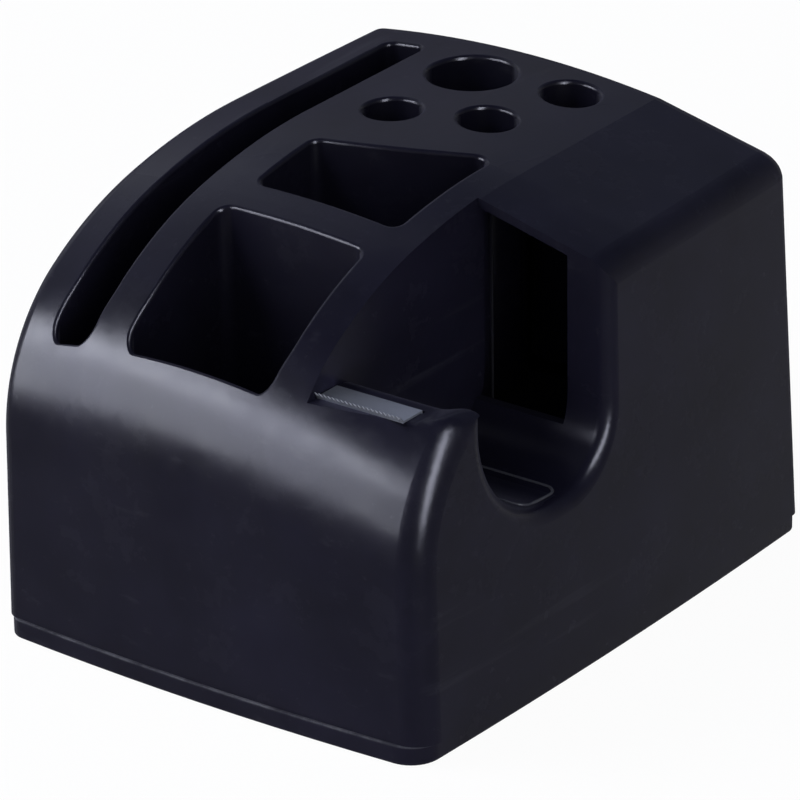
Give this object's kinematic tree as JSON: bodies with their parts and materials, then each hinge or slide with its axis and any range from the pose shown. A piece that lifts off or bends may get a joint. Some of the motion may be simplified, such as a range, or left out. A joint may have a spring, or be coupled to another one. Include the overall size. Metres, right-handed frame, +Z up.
{
  "type": "tape dispenser desk organiser",
  "caption": "desk organiser with a lane for a tape roll, a toothed steel cutter, card slot, open pockets, pen holes and a low side drawer",
  "frame": {"origin": "on the resting surface, under the middle of the base", "axes": "+X to the right seen from the front, +Y to the rear, +Z up; the cutter faces the front and the drawer opens to the left"},
  "size_m": [0.123, 0.1544, 0.1089],
  "materials": {
    "housing": "semi-gloss moulded black",
    "base": "semi-gloss moulded black",
    "drawer": "semi-gloss moulded black",
    "blade": "bright rolled steel",
    "ballast": "as cast",
    "screws": "zinc plated",
    "feet": "matte"
  },
  "bodies": {
    "body": {"housing": "housing", "base_plate": "base", "cutter_blade": "blade", "ballast_block": "ballast", "base_screws": "screws", "foot_pad_front_left": "feet", "foot_pad_front_right": "feet", "foot_pad_rear_left": "feet", "foot_pad_rear_right": "feet"},
    "drawer": {"drawer": "drawer"}
  },
  "joints": [
    {"name": "drawer_slide", "type": "slide", "parent": "body", "child": "drawer", "axis": [-1, 0, 0], "range_m": [0, 0.068]}
  ]
}
